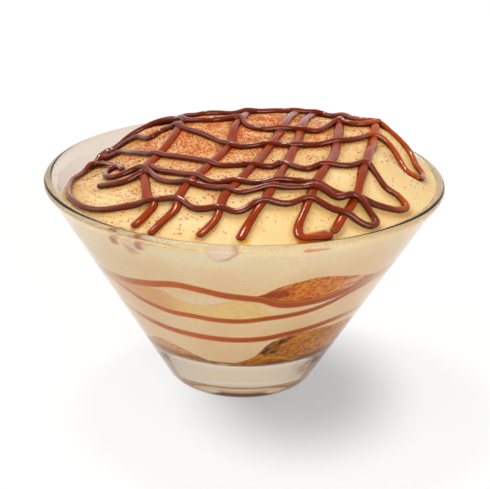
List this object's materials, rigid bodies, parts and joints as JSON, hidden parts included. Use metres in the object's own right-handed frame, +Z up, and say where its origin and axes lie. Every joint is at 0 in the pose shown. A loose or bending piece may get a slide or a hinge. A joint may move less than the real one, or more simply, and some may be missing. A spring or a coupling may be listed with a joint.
{
  "type": "tiramisu cup",
  "caption": "Layered tiramisu of sponge, cream and sauce in a clear cone-shaped dessert glass, with a domed cream top under thick chocolate drizzle and cocoa.",
  "frame": {"origin": "middle of the glass's foot, on the surface it stands on", "axes": "+Z up along the glass's axis, front of the dessert towards -Y, +X to its right"},
  "size_m": [0.11, 0.11, 0.0722],
  "materials": {
    "glass": "clear and polished",
    "cream": "soft satin, ivory cream",
    "sponge": "open golden crumb",
    "soaked_sponge": "moist brown crumb",
    "sauce": "soft gloss, milk chocolate brown"
  },
  "bodies": {
    "root": {"glass": "glass", "sponge_base": "soaked_sponge", "cream_low": "cream", "sauce_low": "sauce", "cream_middle": "cream", "sauce_middle": "sauce", "sponge_middle": "sponge", "cream_high": "cream", "sauce_high": "sauce", "sponge_high": "sponge", "cream_top": "cream"}
  },
  "joints": []
}
